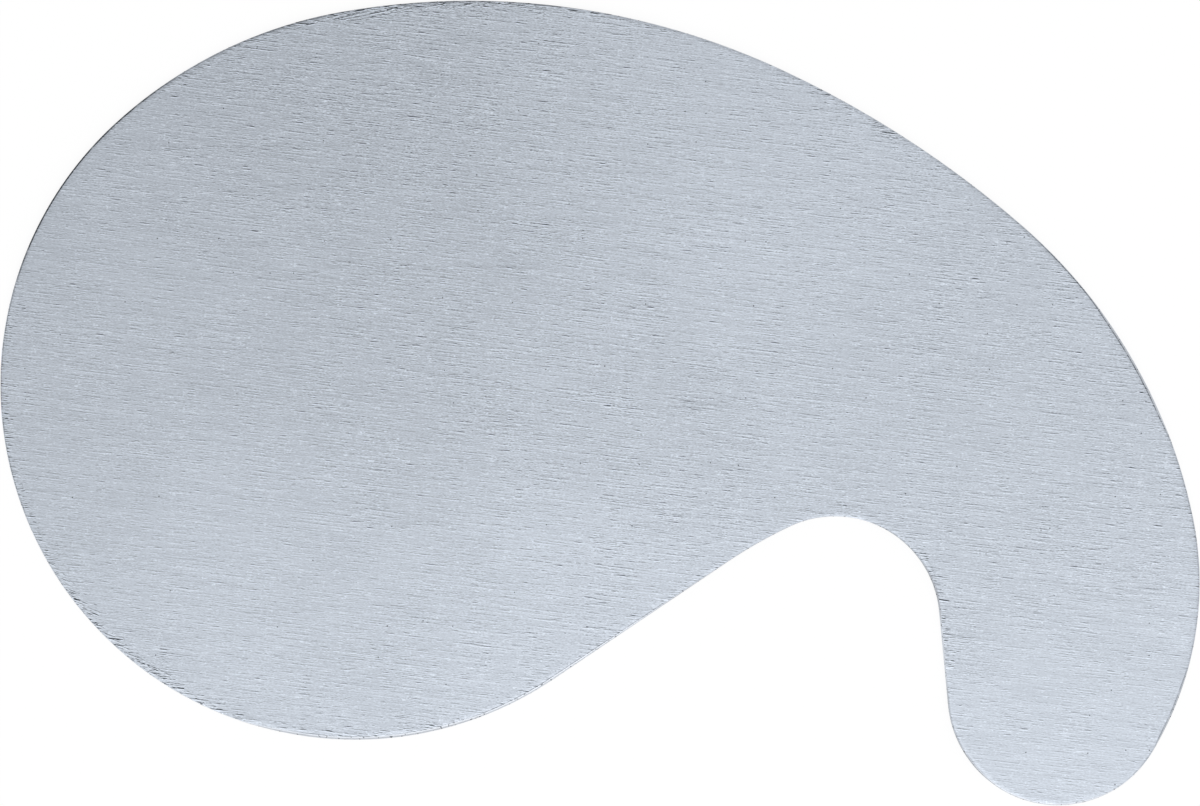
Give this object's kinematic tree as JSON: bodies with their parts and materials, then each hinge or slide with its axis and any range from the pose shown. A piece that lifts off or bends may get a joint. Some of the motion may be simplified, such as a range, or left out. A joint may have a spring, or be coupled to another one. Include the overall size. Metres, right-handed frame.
{
  "type": "card scraper",
  "caption": "Flat swan-neck card scraper in ground spring steel, with a big round end, a hooked nose and a tight throat for scraping curved woodwork.",
  "frame": {"origin": "middle of the outline's box, on the underside of the sheet", "axes": "+X from the big round end to the nose, +Y from the nose up to the back, +Z through the sheet"},
  "size_m": [0.12, 0.0804, 0.0008],
  "materials": {
    "ground_steel": "satin, ground lengthwise"
  },
  "bodies": {
    "root": {"blade": "ground_steel"}
  },
  "joints": []
}
